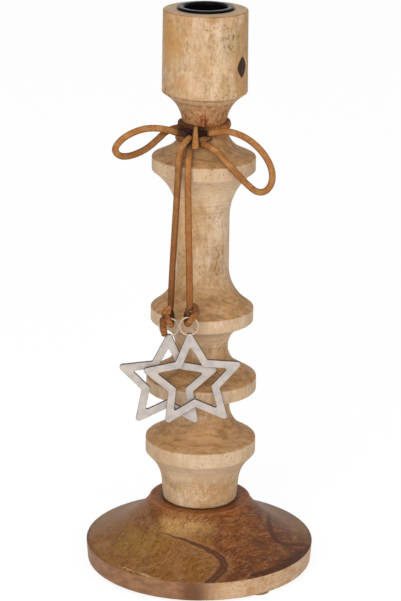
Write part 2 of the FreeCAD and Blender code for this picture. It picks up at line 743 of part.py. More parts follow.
def make_star(name, x, y, ring_height, lean):
    """An open five-pointed star whose top point is drilled across for the ring."""
    body = new_body(name, x=x, y=y, z=ring_height)
    body.Placement.Rotation = FreeCAD.Rotation(FreeCAD.Vector(0, -1, 0), size(lean))
    tip = FreeCAD.Vector(0, size("star_tip_radius"), 0)
    turn_by = math.radians(36)
    notch = FreeCAD.Vector(math.sin(turn_by), math.cos(turn_by), 0) * size("star_notch_radius")
    half_tip = (notch - tip).getAngle(-tip)
    half_notch = math.pi - (tip - notch).getAngle(notch)
    inner_tip = f"star_tip_radius - star_bar_width / {math.sin(half_tip)}"
    inner_notch = f"star_notch_radius - star_bar_width / {math.sin(half_notch)}"
    outlines = (("Outside", "star_tip_radius", "star_notch_radius"), ("Opening", inner_tip, inner_notch))
    for part, tip_radius, notch_radius in outlines:
        corners = star_corners(tip_radius, notch_radius)
        shape = Outline(body, "XZ_Plane", f"{name}_{part}")
        shape.start(*corners[0])
        for corner in corners[1:]:
            shape.line(*corner)
        shape.close()
        if part == "Outside":
            pad(body, shape.sketch, "star_thickness", both_ways=True)
            continue
        pocket = body.newObject("PartDesign::Pocket", f"{name}_open")
        pocket.Profile = shape.sketch
        pocket.Type = "ThroughAll"
        pocket.Midplane = True
        doc.recompute()
        cut_changes(body, pocket)
    middle = FreeCAD.Vector(0, 0, -size("star_hang"))
    tip_reach = size("star_tip_radius")

    def crosses(edge):
        return edge.Length < size("star_thickness") * 1.01 and abs(edge.tangentAt(edge.FirstParameter).y) > 0.9

    def out_from_middle(edge):
        offset = edge.CenterOfMass - middle
        return math.hypot(offset.x, offset.z)

    round_edges(body, "star_tip_round", lambda edge: crosses(edge) and out_from_middle(edge) > 0.99 * tip_reach)
    inner_reach = size(inner_tip)
    outer_notch = size("star_notch_radius")
    near = tip_reach / 1000
    corners = (inner_reach, outer_notch, size(inner_notch))
    round_edges(body, "star_corner_round",
                lambda edge: crosses(edge) and any(abs(out_from_middle(edge) - r) < near for r in corners))
    half = size("star_thickness") / 2
    face_edge = half / 100
    round_edges(body, "star_edge_round", lambda edge: abs(abs(edge.CenterOfMass.y) - half) < face_edge)
    eye = Outline(body, "YZ_Plane", f"{name}_eye")
    centre = FreeCAD.Vector(0, -size("ring_radius"), 0)
    circle = Part.Circle(centre, FreeCAD.Vector(0, 0, 1), size("ring_wire_radius + eye_clearance"))
    piece = eye.sketch.addGeometry(circle)
    eye.constrain("PointOnObject", piece, 3, -2)
    eye.constrain("DistanceY", -1, 1, piece, 3, text="-ring_radius")
    eye.constrain("Radius", piece, text="ring_wire_radius + eye_clearance")
    groove = turn(body, eye, kind="PartDesign::Groove", axis="H_Axis")
    cut_changes(body, groove)
    return body


LEFT_Y = "-(disc2_radius + star_column_gap + star_thickness / 2)"
RIGHT_Y = f"{LEFT_Y} - star_thickness - star_gap"
LEFT = ("left_pendant_x", LEFT_Y, "left_ring_height")
RIGHT = ("right_pendant_x", RIGHT_Y, "right_ring_height")
CUP_SCREW_TOP = f"{HEAD_TOP} - cup_depth + cup_wall + cup_screw_head_height"

pieces = [
    make_base_plate(),
    make_column(),
    make_foot_pads(),
    make_candle_cup(),
    make_screw("cup_screw", "cup", CUP_SCREW_TOP, upside_down=True),
    make_screw("column_screw", "column", column_screw_head_height(), upside_down=False),
    make_washer(),
    make_collar(),
    make_knot(),
    make_lace("lace_bow_left", LEFT_BOW_ROUTE),
    make_lace("lace_bow_right", RIGHT_BOW_ROUTE),
    make_lace("lace_tail_left", LEFT_TAIL_ROUTE),
    make_lace("lace_tail_right", RIGHT_TAIL_ROUTE),
    make_hitch("lace_hitch_left", *LEFT),
    make_hitch("lace_hitch_right", *RIGHT),
    make_lace_end(*LEFT),
    make_ring("ring_left", *LEFT),
    make_ring("ring_right", *RIGHT),
    make_star("star_left", *LEFT, "left_star_lean"),
    make_star("star_right", *RIGHT, "right_star_lean"),
]

doc.recompute()
for item in doc.Objects:
    if "Invalid" in item.State or "Error" in item.State:
        raise RuntimeError(f"{item.Label}: {item.State}")
os.makedirs("parts", exist_ok=True)
for piece in pieces:
    if piece.Shape.isNull() or not piece.Shape.isValid():
        raise RuntimeError(f"{piece.Label} has no valid shape")
for piece in pieces:
    piece.Shape.exportStep(f"parts/{piece.Label}.step")
    box = piece.Shape.BoundBox
    print(f"{piece.Label}: volume {piece.Shape.Volume:.0f}, z {box.ZMin:.2f} to {box.ZMax:.2f}")
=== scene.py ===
import math

import bmesh
import bpy
from mathutils import Matrix, Vector


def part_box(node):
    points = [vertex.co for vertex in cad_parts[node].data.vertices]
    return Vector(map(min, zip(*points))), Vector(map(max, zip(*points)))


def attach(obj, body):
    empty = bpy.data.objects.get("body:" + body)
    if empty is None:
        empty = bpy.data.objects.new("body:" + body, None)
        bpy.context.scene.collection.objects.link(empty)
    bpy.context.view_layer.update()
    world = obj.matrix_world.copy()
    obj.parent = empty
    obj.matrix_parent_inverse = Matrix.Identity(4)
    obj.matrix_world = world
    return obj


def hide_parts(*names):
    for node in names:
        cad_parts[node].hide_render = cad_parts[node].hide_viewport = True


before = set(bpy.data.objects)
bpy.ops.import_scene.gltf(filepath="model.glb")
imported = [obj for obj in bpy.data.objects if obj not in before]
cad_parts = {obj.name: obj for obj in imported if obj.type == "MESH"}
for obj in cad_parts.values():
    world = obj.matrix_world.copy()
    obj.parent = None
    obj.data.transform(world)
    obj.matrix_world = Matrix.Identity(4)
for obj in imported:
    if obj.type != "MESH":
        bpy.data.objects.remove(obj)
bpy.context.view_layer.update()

MM = 0.001

# The camera stands a little above the candle cup and looks down at the column.
CAMERA_PLACE = (-0.00085, -1.2078, 0.53274)
CAMERA_PITCH_DEGREES = 17.77
CAMERA_ROLL_DEGREES = 0.7
CAMERA_SENSOR = 36.0
CAMERA_LENS = 145.25
CAMERA_NEAREST = 0.05
CAMERA_FARTHEST = 50.0

# The node that a new material comes with.
SHADER = "Principled BSDF"

# The studio, in metres. Each lamp has its name, its place and its power in watts.
WHITE = (1, 1, 1, 1)
SKY_LEVEL = 0.66
SKY_SIDES = 0.42
FLOOR_REACH = 6.0
FLOOR_COLOUR = (0.86, 0.86, 0.86, 1)
FLOOR_ROUGHNESS = 0.9
FLOOR_BRIGHTNESS = 1.1
FLOOR_GLOW = 0.8
LAMP_AIM = Vector((0, 0, 0.15))
LAMP_SIZE = 0.9
LAMPS = (
    ("key", (-0.45, -1.5, 0.95), 12.0),
    ("fill", (0.7, -1.4, 0.5), 5.0),
)

# The felt pads under the base. Their angles are in degrees, from the right, seen from above.
PAD_RADIUS = 6.0 * MM
PAD_CIRCLE = 53.0 * MM
PAD_ANGLES = (-54, 66, 186)
PAD_SIDES = 48
PAD_BEVEL = 0.3 * MM
PAD_BEVEL_STEPS = 3
ROUND_PROFILE = 0.5
LEVEL_EDGE_RISE = 0.1 * MM

# The lace is a leather strip cut from a hide. Its section is 2 across before it takes its size.
LACE_WIDTH = 3.4 * MM
LACE_THICKNESS = 2.2 * MM
SECTION_SIDES = 20
SECTION_SQUARENESS = 2.8
END_STEPS = 5
SMALLEST_END = 0.3
SHORTEST_RUN = 1e-9
CURVE_STEPS = 14
CURVE_ORDER = 3
COLLAR_STEPS = 48
COLLAR_WAVE = 0.5 * MM
COLLAR_WAVE_START = 0.6
COLLAR_LEAN = 0.12
FRONT = Vector((0, -1, 0))
BEHIND = Vector((0, 1, 0))
FRONT_RAISED = Vector((0, -1, 0.4))

# The middle lines of the lace's free stretches, and how long each stretch is, in metres.
LEFT_BOW = (
    (-0.0082, -0.0148, 0.2386), (-0.0126, -0.0162, 0.2390), (-0.0190, -0.0182, 0.2420),
    (-0.0285, -0.0200, 0.2430), (-0.0365, -0.0213, 0.2406), (-0.0425, -0.0223, 0.2366),
    (-0.0454, -0.0227, 0.2318), (-0.0423, -0.0223, 0.2283), (-0.0363, -0.0213, 0.2286),
    (-0.0288, -0.0193, 0.2318), (-0.0228, -0.0166, 0.2368), (-0.01808, -0.01356, 0.2409),
    (-0.0112, -0.0084, 0.2409),
)
RIGHT_BOW = (
    (-0.0002, -0.0160, 0.2392), (0.0044, -0.0172, 0.2400), (0.0112, -0.0182, 0.2414),
    (0.0183, -0.0195, 0.2398), (0.0248, -0.0215, 0.2363), (0.0308, -0.0230, 0.2303),
    (0.0344, -0.0240, 0.2234), (0.0348, -0.0244, 0.2166), (0.0318, -0.0246, 0.2117),
    (0.0271, -0.0248, 0.2111), (0.0224, -0.0252, 0.2150), (0.0172, -0.0259, 0.2206),
    (0.0116, -0.0264, 0.2267), (0.0066, -0.0228, 0.2316), (0.0022, -0.0196, 0.2338),
    (-0.0020, -0.0178, 0.2346),
)
LEFT_TAIL = (
    (-0.0064, -0.0172, 0.2380), (-0.0088, -0.0184, 0.2364), (-0.0114, -0.0204, 0.2330),
    (-0.0125, -0.0242, 0.2290), (-0.0129, -0.0270, 0.2240), (-0.0130, -0.0278, 0.2164),
    (-0.0159, -0.0308, 0.1615), (-0.0160, -0.0312, 0.1508),
)
RIGHT_TAIL = (
    (-0.00725, -0.01665, 0.2348), (-0.00725, -0.01665, 0.2316), (-0.0075, -0.0206, 0.2289),
    (-0.0079, -0.0256, 0.2270), (-0.0080, -0.0290, 0.2222), (-0.0079, -0.0295, 0.2150),
    (-0.0064, -0.0334, 0.1600), (-0.0063, -0.0338, 0.1508),
)
LEFT_BOW_LENGTH = 0.0838
RIGHT_BOW_LENGTH = 0.1014
LEFT_TAIL_LENGTH = 0.0905
RIGHT_TAIL_LENGTH = 0.0863

# From here on, places are in millimetres, and colours are as a screen shows them, from 0 to 255.
# A pair of values is where something starts to fade in and where it is full, by height, by distance from the
# middle, or by how far up a surface faces, from -1 to 1.

# The woods' noise, laid over their colour in patches. Each has its name, scale, detail, roughness and seed,
# the two levels of the noise between which it fades in, its share and its tint.
COLUMN_PATCHES = (
    ("olive", (0.1, 0.1, 0.06), 3.0, 0.5, 12.2, 0.5, 0.66, 0.5, (184, 150, 98)),
    ("warm", (0.06, 0.06, 0.035), 2.0, 0.5, 9.2, 0.55, 0.7, 0.55, (202, 142, 92)),
    ("dim", (0.15, 0.15, 0.09), 4.0, 0.65, 52.2, 0.5, 0.62, 0.5, (162, 122, 72)),
    ("blond", (0.12, 0.12, 0.08), 4.0, 0.65, 62.2, 0.52, 0.64, 0.55, (230, 204, 180)),
)
COLUMN_GRAIN = (
    ("fibre", (0.9, 0.9, 0.22), 3.0, 0.6, 4.4, 0.45, 0.68, 0.36, (168, 126, 82)),
    ("pale", (0.4, 0.4, 0.3), 3.0, 0.6, 14.4, 0.54, 0.7, 0.4, (232, 206, 174)),
    ("mottle", (0.42, 0.42, 0.3), 4.0, 0.65, 24.4, 0.5, 0.68, 0.42, (160, 122, 76)),
    ("fleck", (1.3, 1.3, 0.7), 3.0, 0.65, 34.4, 0.56, 0.7, 0.4, (142, 100, 58)),
)
BASE_GRAIN = (
    ("lit", (0.1, 0.7, 0.5), 4.0, 0.7, 15.0, 0.52, 0.68, 0.55, (190, 136, 92)),
    ("fine", (0.7, 1.5, 1.2), 3.0, 0.7, 9.0, 0.46, 0.62, 0.55, (92, 52, 28)),
    ("shine", (0.5, 1.1, 0.9), 3.0, 0.65, 19.0, 0.54, 0.7, 0.45, (188, 142, 96)),
)
BASE_PATCHES = (
    ("murk", 0.2, 4.0, 0.7, 27.0, 0.5, 0.62, 0.4, (100, 60, 34)),
    ("pallor", 0.13, 4.0, 0.7, 37.0, 0.5, 0.64, 0.35, (160, 126, 82)),
)

# Marks where the photograph has them. Each has how its outline wanders (scale, reach and seed, or None), its
# centre, its radii, how soft its edge is, its share, the share that only its spots have, and its tint.
# A warm side and a pale side of the waist.
COLUMN_SIDES = (
    (None, (-10.0, -11.0, 192.0), (8.0, 10.0, 34.0), 0.8, 0.6, 0.0, (242, 190, 134)),
    (None, (13.0, -6.0, 196.0), (7.0, 9.0, 34.0), 0.8, 0.55, 0.0, (232, 212, 186)),
)
# A group of spots at the head's right, twice; a blush and an amber patch at its left; two bruises below.
COLUMN_MARKS = (
    (None, (13.4, -17.0, 287.0), (5.5, 6.0, 7.0), 0.6, 0.35, 0.0, (166, 138, 84)),
    (None, (13.4, -17.0, 287.0), (5.5, 6.0, 7.0), 0.6, 0.0, 0.8, (112, 88, 46)),
    ((0.15, 3.0, 8.0), (-10.0, -19.0, 265.0), (7.0, 6.0, 4.5), 0.6, 0.35, 0.0, (204, 140, 84)),
    ((0.2, 3.0, 18.0), (-17.5, -12.0, 285.0), (6.0, 8.0, 13.0), 0.6, 0.55, 0.0, (196, 140, 70)),
    ((0.2, 3.0, 28.0), (8.5, -13.0, 169.0), (5.0, 7.0, 11.0), 0.7, 0.35, 0.45, (142, 98, 50)),
    ((0.2, 3.0, 38.0), (-10.5, -9.5, 168.0), (6.0, 6.0, 11.0), 0.7, 0.3, 0.4, (148, 116, 62)),
)
# Moss on the left of the slope, gold at the foot of the plinth that is a painted highlight, and red beside
# it.
BASE_MARKS = (
    ((0.1, 5.0, 3.5), (-30.0, -26.0, 20.0), (15.0, 12.0, 9.0), 0.6, 0.65, 0.0, (150, 112, 40)),
    ((0.1, 4.0, 2.5), (-9.0, -27.0, 31.0), (14.0, 9.0, 6.0), 0.6, 0.8, 0.0, (206, 160, 98)),
    ((0.15, 5.0, 4.5), (-27.0, -16.0, 29.0), (9.0, 9.0, 7.0), 0.6, 0.8, 0.0, (112, 62, 28)),
)
# A smudge on the right of the slope.
BASE_WANDER = (0.12, 1.2, 2.0)
BASE_SMUDGE = (
    (BASE_WANDER, (31.0, -27.0, 19.0), (6.0, 4.0, 5.0), 0.7, 0.6, 0.0, (70, 36, 18)),
)

# The column: its pith, its growth rings, and where its looks change.
PITH = (13.0, 20.0, 150.0)
PITH_STRETCH = (1.0, 1.0, 0.06)
RING_SPACING = 4.3
HEAD_STREAKS = (252.0, 262.0)
HEAD_LEFT = (6.0, -12.0)
NECK_START = (230.0, 239.0)
NECK_END = (252.0, 261.0)
NECK_RED = (256.0, 246.0)
TOE = (30.0, 24.5)
DISC_RIM = (23.5, 27.0)
LINED_SIDES = (-0.05, -0.3)
UNDERSIDE = (-0.12, -0.5)
NOT_RIM = (0.1, 0.4)
SLOPE = (0.12, 0.6)
TOP = (0.93, 0.99)
TURNED_LINES = ((257.0, 1.0), (253.2, 1.2))
LINE_TILT = 0.05
LINE_WAVE = 1.2
CRACK = ((2.6, -11.6, 247.5), (0.6, -11.4, 244.0), (0.9, -11.5, 236.0))
CRACK_WIDTHS = (1.0, 2.0, 1.8)
KNOT_CENTRE = (18.7, -11.3, 272.7)
KNOT_RADII = (4.2, 5.4, 5.6)
KNOT_ROUNDNESS = 1.35
KNOT_EDGE = (0.85, 1.1)

# The base: the turn of its grain, its bands and stains seen from above, and where its looks change.
GRAIN_COSINE = 0.77
GRAIN_SINE = 0.64
FIRST_BAND = (
    (-32.8, -12, 0), (-21.1, -27.2, 0), (-12.6, -32.8, 0), (-4.2, -36.6, 0), (4.2, -39.4, 0),
    (8.8, -41.3, 0), (11.8, -43.9, 0), (13.0, -47.4, 0), (12.1, -51.2, 0), (10.0, -54.6, 0),
    (7.2, -58.1, 0), (3, -63, 0),
)
SECOND_BAND = (
    (37, 2, 0), (37.8, -6.4, 0), (38.6, -13.8, 0), (40.9, -19, 0), (46.2, -19.7, 0), (53, -15.1, 0),
    (60, -11, 0),
)
FIRST_WIDTHS = (0.4, 0.6, 1.0, 1.5, 2.2, 2.9, 3.7, 4.4, 4.5, 4.3, 4.0, 3.6)
SECOND_WIDTHS = (2.0, 2.4, 3.0, 3.4, 3.4, 3.0, 2.0)
RIM_STAIN = ((60, -14, 0), (55, -23, 0), (49.5, -32, 0), (43, -41, 0), (36, -47, 0), (28, -52, 0))
STAIN_WIDTHS = (4.0, 6.5, 7.0, 6.0, 4.5, 2.5)
HALO_SHARE = 1.9
CORE_SHARE = 0.45
CHIP = ((-42.0, -42.5, 13.4), (-34.0, -48.5, 13.0), (-28.4, -52.4, 12.6), (-20.0, -57.0, 12.0))
CHIP_WIDTHS = (1.4, 1.0, 1.4, 0.5)
DUSK_CENTRE = (-3.0, -60.0, 6.0)
DUSK_RADII = (6.0, 8.0, 10.0)
RUSSET_START = (2.0, 12.0)
RUSSET_SWERVE = 14.0
DEEP_STREAKS = (-12.0, 14.0)
CLEAR_BANDS = (-26.0, -2.0)
PLINTH = (31.0, 34.0)
LEDGE_RADIUS = 26.2
LEDGE_REACH = 1.3
BACK = (-14.0, 12.0)
BACK_LOW = (28.0, 16.0)
WALL_FACING = (0.55, 0.3)
WALL_TOP = (12.6, 11.4)
PALE_WALL_START = (-2.0, 16.0)
PALE_WALL_SWERVE = 20.0
BRIM_SHADE = (58.2, 60.2)
BRIM_BACK = (-40.0, -14.0)
FOOT_SHADOW = (19.8, 22.6)

# The lace's lower part, its tied ends and the painted shade towards its edges, and the stars' faces.
LACE_LOW = (205.0, 165.0)
LACE_TIED = (158.0, 152.0)
EDGE_SHADE = (0.45, 1.0)
STAR_FACE = (0.55, 0.9)


def shade(red, green, blue):
    """A screen's colour made linear, by the curve that screens share."""
    def linear(level):
        level /= 255
        if level <= 0.04045:
            return level / 12.92
        return ((level + 0.055) / 1.055) ** 2.4
    return (linear(red), linear(green), linear(blue), 1.0)


class Flow:
    """A socket of a tree of nodes, on which sums are written as on numbers."""

    def __init__(self, nodes, socket):
        self.nodes = nodes
        self.socket = socket

    def work(self, operation, *values):
        """One sum. Vectors and colours go through Vector Math, and single values through Math."""
        kind = "ShaderNodeVectorMath" if self.socket.type in ("VECTOR", "RGBA") else "ShaderNodeMath"
        return self.nodes.node(kind, {"operation": operation}, dict(enumerate(values)))

    def __add__(self, other):
        return self.work("ADD", self, other)

    def __radd__(self, other):
        return self.work("ADD", other, self)

    def __sub__(self, other):
        return self.work("SUBTRACT", self, other)

    def __rsub__(self, other):
        return self.work("SUBTRACT", other, self)

    def __mul__(self, other):
        return self.work("MULTIPLY", self, other)

    def __rmul__(self, other):
        return self.work("MULTIPLY", other, self)

    def __truediv__(self, other):
        return self.work("DIVIDE", self, other)

    def __pow__(self, other):
        return self.work("POWER", self, other)

    def __abs__(self):
        return self.work("ABSOLUTE", self)

    def sine(self):
        return self.work("SINE", self)

    def lesser(self, other):
        return self.work("MINIMUM", self, other)

    def greater(self, other):
        return self.work("MAXIMUM", self, other)


class Nodes:
    """A tree of nodes."""

    def __init__(self, tree):
        self.tree = tree

    def node(self, kind, settings=None, inputs=None, output=0):
        """Any node: its settings, then its sockets' values or links. Returns one output."""
        made = self.tree.nodes.new(kind)
        for name, value in (settings or {}).items():
            setattr(made, name, value)
        for name, value in (inputs or {}).items():
            socket = made.inputs[name]
            if isinstance(value, Flow):
                self.tree.links.new(value.socket, socket)
            elif socket.type == "VECTOR" and not hasattr(value, "__len__"):
                socket.default_value = (value, value, value)
            else:
                socket.default_value = value
        return Flow(self, made.outputs[output])

    def link(self, flow, name, socket):
        """Links a flow to a node that came with the tree."""
        self.tree.links.new(flow.socket, self.tree.nodes[name].inputs[socket])

    def axis(self, vector, letter):
        return self.node("ShaderNodeSeparateXYZ", {}, {0: vector}, letter)


class Finish(Nodes):
    """A material of nodes round one shader. Its place is in millimetres of the object."""

    def __init__(self, name, **constants):
        self.material = bpy.data.materials.new(name)
        self.material.use_nodes = True
        super().__init__(self.material.node_tree)
        for socket, value in constants.items():
            self.tree.nodes[SHADER].inputs[socket.replace("_", " ")].default_value = value
        self.place = self.node("ShaderNodeTexCoord", output="Object") * (1 / MM)
        self.normal = self.node("ShaderNodeTexCoord", output="Normal")
        self.colour = None

    def feed(self, socket, flow):
        """Links a flow to the shader."""
        self.link(flow, SHADER, socket)

    def noise(self, place, detail, roughness, seed, output=0):
        return self.node(
            "ShaderNodeTexNoise", {"noise_dimensions": "4D"},
            {"Vector": place, "W": seed, "Scale": 1.0, "Detail": detail, "Roughness": roughness}, output,
        )

    def wander(self, scale, reach, seed):
        """A push by noise, up to its reach each way."""
        push = self.noise(self.place * scale, detail=2.0, roughness=0.5, seed=seed, output="Color")
        return (push - 0.5) * (2 * reach)

    def wandered(self, scale, reach, seed):
        """The place pushed about by noise."""
        return self.place + self.wander(scale, reach, seed)

    def cells(self, place):
        """How far each point is from the middle of its cell."""
        return self.node("ShaderNodeTexVoronoi", {}, {"Vector": place, "Scale": 1.0}, "Distance")

    def smooth(self, value, low, high, from_value=0.0, to_value=1.0):
        """Rises or falls smoothly from one value to another while the input goes from low to high."""
        return self.node(
            "ShaderNodeMapRange", {"interpolation_type": "SMOOTHSTEP"},
            {"Value": value, "From Min": low, "From Max": high, "To Min": from_value, "To Max": to_value},
        )

    def mix(self, factor, first, second):
        """One colour laid over another by a factor. Each is a flow or a screen's colour."""
        first, second = (tint if isinstance(tint, Flow) else shade(*tint) for tint in (first, second))
        return self.node("ShaderNodeMix", {"data_type": "RGBA"}, {0: factor, 6: first, 7: second}, 2)

    def lay(self, share, tint):
        """Lays a tint over the finish's colour."""
        self.colour = self.mix(share, self.colour, tint)

    def length(self, vector):
        return self.node("ShaderNodeVectorMath", {"operation": "LENGTH"}, {0: vector}, "Value")

    def from_middle(self):
        """How far each point is from the object's upright axis."""
        return self.length(self.place * (1.0, 1.0, 0.0))

    def spot(self, place, centre, radii, edge):
        """1 inside an egg-shaped spot, 0 outside it, with a soft edge."""
        reach = self.length((place - centre) / radii)
        return self.smooth(reach, 1 - edge, 1 + edge, from_value=1.0, to_value=0.0)

    def stroke(self, place, points, widths, edge):
        """1 along a line drawn through some points, 0 past half its width, which may change."""
        nearest = None
        for start, end, first, last in zip(points, points[1:], widths, widths[1:]):
            run = Vector(end) - Vector(start)
            away = place - start
            share = self.node(
                "ShaderNodeVectorMath", {"operation": "DOT_PRODUCT"},
                {0: away, 1: tuple(run / run.length_squared)}, "Value",
            )
            share = self.node("ShaderNodeClamp", {}, {0: share})
            along = self.node(
                "ShaderNodeVectorMath", {"operation": "SCALE"}, {0: tuple(run), "Scale": share}
            )
            half = share * ((last - first) / 2) + first / 2
            reach = self.length(away - along) / half
            nearest = reach if nearest is None else nearest.lesser(reach)
        return self.smooth(nearest, 1 - edge, 1 + edge, from_value=1.0, to_value=0.0)

    def patches(self, place, rows):
        """Lays patches of noise over the colour and returns the noise of each by its name."""
        noises = {}
        for name, scale, detail, roughness, seed, low, high, share, tint in rows:
            noises[name] = self.noise(place * scale, detail, roughness, seed)
            self.lay(self.smooth(noises[name], low, high) * share, tint)
        return noises

    def marks(self, rows, spots=0.0):
        """Lays marks over the colour, each with a share of its own and a share that only spots have."""
        for wander, centre, radii, edge, steady, spotted, tint in rows:
            outline = self.wandered(*wander) if wander else self.place
            share = steady + spots * spotted if spotted else steady
            self.lay(self.spot(outline, centre, radii, edge) * share, tint)

    def bump(self, height):
        """Raises the surface by a height in millimetres."""
        raised = self.node("ShaderNodeBump", {}, {"Height": height, "Distance": MM, "Strength": 1.0})
        self.feed("Normal", raised)


def make_camera():
    """The photograph's view: from the front and a little from above."""
    data = bpy.data.cameras.new("camera")
    data.sensor_width = CAMERA_SENSOR
    data.lens = CAMERA_LENS
    data.clip_start = CAMERA_NEAREST
    data.clip_end = CAMERA_FARTHEST
    camera = bpy.data.objects.new("camera", data)
    tilt = Matrix.Rotation(math.radians(90 - CAMERA_PITCH_DEGREES), 4, "X")
    roll = Matrix.Rotation(math.radians(CAMERA_ROLL_DEGREES), 4, "Z")
    camera.matrix_world = Matrix.Translation(CAMERA_PLACE) @ tilt @ roll
    bpy.context.scene.collection.objects.link(camera)
    bpy.context.scene.camera = camera


def mesh_object(name, bm, material):
    """Makes an object of the scene from a mesh in the making."""
    mesh = bpy.data.meshes.new(name)
    bm.to_mesh(mesh)
    bm.free()
    mesh.materials.append(material)
    made = bpy.data.objects.new(name, mesh)
    bpy.context.scene.collection.objects.link(made)
    return made


def route_line(route):
    """The points of the smooth line that a route's points control."""
    curve = bpy.data.curves.new("route", "CURVE")
    curve.dimensions = "3D"
    curve.resolution_u = CURVE_STEPS
    spline = curve.splines.new("NURBS")
    spline.points.add(len(route) - 1)
    for point, place in zip(spline.points, route):
        point.co = (*place, 1.0)
    spline.order_u = CURVE_ORDER
    spline.use_endpoint_u = True
    holder = bpy.data.objects.new("route", curve)
    mesh = bpy.data.meshes.new_from_object(holder)
    line = [vertex.co.copy() for vertex in mesh.vertices]
    bpy.data.objects.remove(holder)
    bpy.data.curves.remove(curve)
    bpy.data.meshes.remove(mesh)
    return line


def between(stops, share):
    """The value at a share of the way, eased from one stop to the next."""
    for (start, first), (end, second) in zip(stops, stops[1:]):
        if share <= end:
            step = max(0.0, (share - start) / (end - start))
            return first + (second - first) * (step * step * (3 - 2 * step))
    return stops[-1][1]


def end_share(from_end, rounding):
    """How much of its full size a strip has at a distance from its rounded end."""
    if from_end >= rounding:
        return 1.0
    return max(SMALLEST_END, math.sqrt(1 - (1 - from_end / rounding) ** 2))


def section_offsets(reached):
    """How far along a strip its sections stand. They are closer together in its rounded ends."""
    whole = reached[-1]
    rounding = LACE_WIDTH / 2
    quarter = [math.pi / 2 * step / END_STEPS for step in range(1, END_STEPS)]
    start_offsets = [rounding * (1 - math.cos(angle)) for angle in quarter]
    inner = [reach for reach in reached if rounding < reach < whole - rounding]
    end_offsets = [whole - offset for offset in reversed(start_offsets)]
    return [0.0, *start_offsets, *inner, *end_offsets, whole]


def first_section(bm, edge_layer):
    """A flat section with soft corners. Its vertices say how near they are to the lace's cut edges, where the
    finish paints shade.
    """
    ring = bmesh.ops.create_circle(bm, cap_ends=True, segments=SECTION_SIDES, radius=1.0)["verts"]
    for vertex in ring:
        for axis in (0, 1):
            value = vertex.co[axis]
            vertex.co[axis] = math.copysign(abs(value) ** (2 / SECTION_SQUARENESS), value)
        vertex[edge_layer] = vertex.co.x
    return ring


def lace_strip(bm, line, facings, shades=((0, 0.0), (1, 0.0)), widths=((0, 1.0), (1, 1.0))):
    """Draws a strip of leather along a line.

    Facings, shades and widths say which way it faces, how much painted shade darkens it and how wide it is,
    at shares of its length.
    """
    reached = [0.0]
    for first, second in zip(line, line[1:]):
        reached.append(reached[-1] + (second - first).length)
    whole = reached[-1]
    edge_layer = bm.verts.layers.float.get("edge") or bm.verts.layers.float.new("edge")
    shade_layer = bm.verts.layers.float.get("shade") or bm.verts.layers.float.new("shade")
    ring = first_section(bm, edge_layer)
    cap = ring[0].link_faces[0]
    held = Matrix.Identity(4)
    index = 0
    for offset in section_offsets(reached):
        while index < len(line) - 2 and reached[index + 1] < offset:
            index += 1
        run = line[index + 1] - line[index]
        step = (offset - reached[index]) / max(run.length, SHORTEST_RUN)
        place = line[index] + run * step
        before = line[max(index - 1, 0)]
        after = line[min(index + 2, len(line) - 1)]
        onward = (after - before).normalized()
        share = offset / whole
        side = Vector(between(facings, share)).cross(onward).normalized()
        facing = onward.cross(side)
        from_end = min(offset, whole - offset)
        width = LACE_WIDTH / 2 * between(widths, share) * end_share(from_end, LACE_WIDTH / 2)
        thick = LACE_THICKNESS / 2 * end_share(from_end, LACE_THICKNESS / 2)
        wanted = Matrix((
            (side.x * width, facing.x * thick, onward.x * MM, place.x),
            (side.y * width, facing.y * thick, onward.y * MM, place.y),
            (side.z * width, facing.z * thick, onward.z * MM, place.z),
            (0, 0, 0, 1),
        ))
        if offset > 0:
            made = bmesh.ops.extrude_face_region(bm, geom=[cap])["geom"]
            cap = next(part for part in made if isinstance(part, bmesh.types.BMFace))
            ring = list(cap.verts)
        bmesh.ops.transform(bm, matrix=wanted @ held.inverted(), verts=ring)
        held = wanted
        # Each section's shade is painted shade, laid on by the suede's finish.
        for vertex in ring:
            vertex[shade_layer] = between(shades, share)


def take_place(piece, body, replaced):
    """Puts a piece on its body, in the place of a CAD node."""
    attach(piece, body)
    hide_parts(replaced)


def lace_piece(name, bm, body, finish, replaced):
    """Makes a piece of lace."""
    bmesh.ops.recalc_face_normals(bm, faces=bm.faces)
    for face in bm.faces:
        face.smooth = True
    piece = mesh_object(name, bm, finish.material)
    take_place(piece, body, replaced)
    return piece


